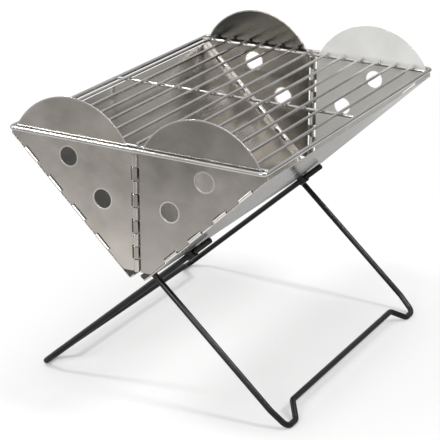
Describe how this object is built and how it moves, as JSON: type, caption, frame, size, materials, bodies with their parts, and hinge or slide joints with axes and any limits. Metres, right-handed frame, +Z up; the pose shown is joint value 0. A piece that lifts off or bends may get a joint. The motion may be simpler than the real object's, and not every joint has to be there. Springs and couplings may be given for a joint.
{
  "type": "flatpack grill",
  "caption": "Flatpack tabletop grill: V-shaped folding sheet-steel trough with a raised ridge hinge and arched end flaps, a lift-off wire grate and two crossed black wire leg frames.",
  "frame": {"origin": "on the floor, under the middle of the body's bounding box", "axes": "+Z up, Y along the ridge with the near end at -Y, X across with the right side panel at +X"},
  "size_m": [0.2858, 0.3774, 0.3071],
  "materials": {
    "panel_steel": "rolled stainless sheet, lightly brushed, warm grey",
    "pin_steel": "drawn stainless wire",
    "grate_steel": "bright drawn stainless wire",
    "leg_black": "satin black coating over steel wire"
  },
  "bodies": {
    "left_side": {"side_panel_left": "panel_steel", "ridge_hinge_pin": "pin_steel", "leg_socket_front_near": "leg_black", "leg_socket_front_far": "leg_black"},
    "right_side": {"side_panel_right": "panel_steel", "leg_socket_rear_near": "leg_black", "leg_socket_rear_far": "leg_black"},
    "end_near_left": {"end_panel_near_left": "panel_steel", "centre_hinge_pin_near": "pin_steel"},
    "end_near_right": {"end_panel_near_right": "panel_steel"},
    "end_far_left": {"end_panel_far_left": "panel_steel", "centre_hinge_pin_far": "pin_steel"},
    "end_far_right": {"end_panel_far_right": "panel_steel"},
    "grate": {"grate_rim_wire": "grate_steel", "grate_end_rod_near": "grate_steel", "grate_mid_rod": "grate_steel", "grate_end_rod_far": "grate_steel", "grate_bar_01": "grate_steel", "grate_bar_02": "grate_steel", "grate_bar_03": "grate_steel", "grate_bar_04": "grate_steel", "grate_bar_05": "grate_steel", "grate_bar_06": "grate_steel", "grate_bar_07": "grate_steel", "grate_bar_08": "grate_steel", "grate_bar_09": "grate_steel", "grate_bar_10": "grate_steel", "grate_bar_11": "grate_steel", "grate_bar_12": "grate_steel", "grate_bar_13": "grate_steel"},
    "front_leg": {"leg_frame_front": "leg_black", "leg_collar_front_near": "leg_black", "leg_collar_front_far": "leg_black"},
    "rear_leg": {"leg_frame_rear": "leg_black", "leg_collar_rear_near": "leg_black", "leg_collar_rear_far": "leg_black"}
  },
  "joints": [
    {"name": "grate_lift", "type": "slide", "parent": "left_side", "child": "grate", "axis": [0, 0, 1], "range_m": [0, 0.35]},
    {"name": "ridge_fold", "type": "hinge", "parent": "left_side", "child": "right_side", "pos_m": [0, 0, 0.1481], "axis": [0, -1, 0], "range_deg": [0, 1.92]},
    {"name": "end_near_left_fold", "type": "hinge", "parent": "left_side", "child": "end_near_left", "pos_m": [-0.07138, -0.1825, 0.20254], "axis": [-0.7242, 0, 0.6896], "range_deg": [0, 15]},
    {"name": "end_near_right_fold", "type": "hinge", "parent": "right_side", "child": "end_near_right", "pos_m": [0.07138, -0.1825, 0.20254], "axis": [-0.7242, 0, -0.6896], "range_deg": [0, 15]},
    {"name": "end_far_left_fold", "type": "hinge", "parent": "left_side", "child": "end_far_left", "pos_m": [-0.07138, 0.1825, 0.20254], "axis": [0.7242, 0, -0.6896], "range_deg": [0, 15]},
    {"name": "end_far_right_fold", "type": "hinge", "parent": "right_side", "child": "end_far_right", "pos_m": [0.07138, 0.1825, 0.20254], "axis": [0.7242, 0, 0.6896], "range_deg": [0, 15]},
    {"name": "front_leg_slide", "type": "slide", "parent": "left_side", "child": "front_leg", "axis": [0.7451, 0, -0.6669], "range_m": [0, 0.03]},
    {"name": "rear_leg_slide", "type": "slide", "parent": "right_side", "child": "rear_leg", "axis": [-0.7451, 0, -0.6669], "range_m": [0, 0.03]}
  ],
  "couplings": [
    {"joint": "ridge_fold", "follows": "grate_lift", "rad_per_m": 0.09574},
    {"joint": "end_near_left_fold", "follows": "grate_lift", "rad_per_m": 0.7479},
    {"joint": "end_near_right_fold", "follows": "grate_lift", "rad_per_m": 0.7479},
    {"joint": "end_far_left_fold", "follows": "grate_lift", "rad_per_m": 0.7479},
    {"joint": "end_far_right_fold", "follows": "grate_lift", "rad_per_m": 0.7479}
  ]
}
